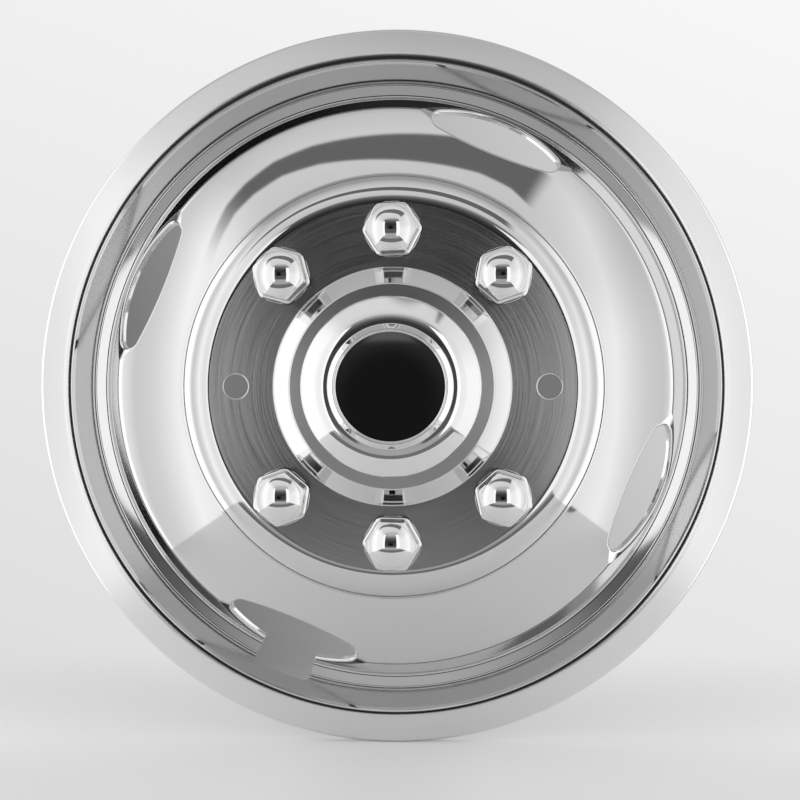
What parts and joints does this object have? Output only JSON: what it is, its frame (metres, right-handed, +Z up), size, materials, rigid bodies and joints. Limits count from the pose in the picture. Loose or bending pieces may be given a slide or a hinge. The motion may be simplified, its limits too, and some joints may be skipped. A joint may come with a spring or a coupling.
{
  "type": "truck wheel simulator",
  "caption": "Polished stainless wheel simulator: a domed truck wheel liner with a rolled rim, lipped hand holes, a valve notch, hexagon lug nut covers and a drawn hub cap.",
  "frame": {"origin": "centre of the bolt circle, on the back face of the bolt disc", "axes": "+Y along the wheel's axis, inboard towards the truck's wheel; outboard face looks along -Y; +Z up"},
  "size_m": [0.5272, 0.0898, 0.5272],
  "materials": {
    "polished_stainless": "mirror polished stainless sheet, with a brushed bolt disc and a satin rim band"
  },
  "bodies": {
    "root": {"wheel_liner": "polished_stainless", "hub_cap": "polished_stainless", "lug_cover_1": "polished_stainless", "lug_cover_2": "polished_stainless", "lug_cover_3": "polished_stainless", "lug_cover_4": "polished_stainless", "lug_cover_5": "polished_stainless", "lug_cover_6": "polished_stainless"}
  },
  "joints": []
}
